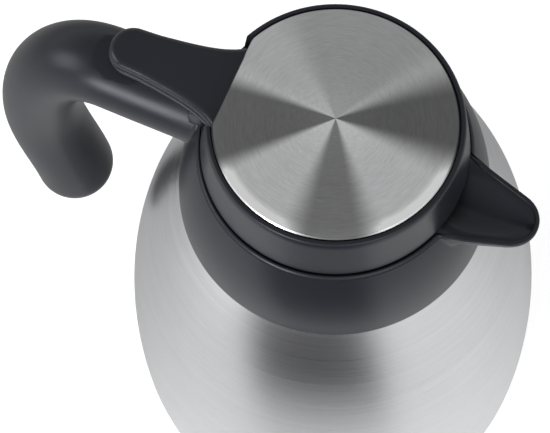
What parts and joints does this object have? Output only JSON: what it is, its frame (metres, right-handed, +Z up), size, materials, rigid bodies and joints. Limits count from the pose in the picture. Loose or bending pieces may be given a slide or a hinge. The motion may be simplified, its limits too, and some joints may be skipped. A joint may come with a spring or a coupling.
{
  "type": "thermal carafe with flip lid",
  "caption": "Double-walled steel thermal carafe with a black collar and open spout, a one-armed hook handle, and a flip lid with a steel plate and thumb lever.",
  "frame": {"origin": "centre of the base, on the table", "axes": "+Z up along the body's axis, +X towards the spout, -X towards the handle, and the lid's pin lies along Y"},
  "size_m": [0.2067, 0.1572, 0.2833],
  "materials": {
    "body_steel": "fine brushed lines round the axis",
    "flask_steel": "plain satin",
    "base_steel": "plain satin",
    "getter_alloy": "dull",
    "foot_rubber": "matt",
    "silicone": "satin silicone",
    "black_plastic": "satin moulded",
    "inner_plastic": "satin moulded",
    "screw_steel": "plain",
    "pin_steel": "ground",
    "spring_steel": "drawn wire",
    "plate_steel": "brushed in circles, with a bright bevel",
    "adhesive": "thin pad",
    "foam": null
  },
  "bodies": {
    "carafe": {"outer_shell": "body_steel", "inner_flask": "flask_steel", "base_cup": "base_steel", "base_cover": "base_steel", "getter": "getter_alloy", "foot_ring": "foot_rubber", "neck_ring": "base_steel", "neck_gasket": "silicone", "collar": "black_plastic", "handle": "black_plastic", "handle_screws": "screw_steel", "hinge_pin": "pin_steel", "hinge_spring": "spring_steel"},
    "lid": {"lid_shell": "black_plastic", "lid_plate": "plate_steel", "plate_pad": "adhesive", "lid_liner": "inner_plastic", "lid_screws": "screw_steel", "stopper": "inner_plastic", "stopper_foam": "foam", "stopper_lid": "inner_plastic", "stopper_seal": "silicone", "lever_frame": "black_plastic", "lever_cap": "black_plastic", "lever_screws": "screw_steel"}
  },
  "joints": [
    {"name": "lid_hinge", "type": "hinge", "parent": "carafe", "child": "lid", "pos_m": [-0.0435, 0, 0.265], "axis": [0, -1, 0], "range_deg": [0, 13], "stiffness_Nm_per_rad": 0.05, "springref_deg": -22.92, "deforming": ["hinge_spring"]}
  ]
}
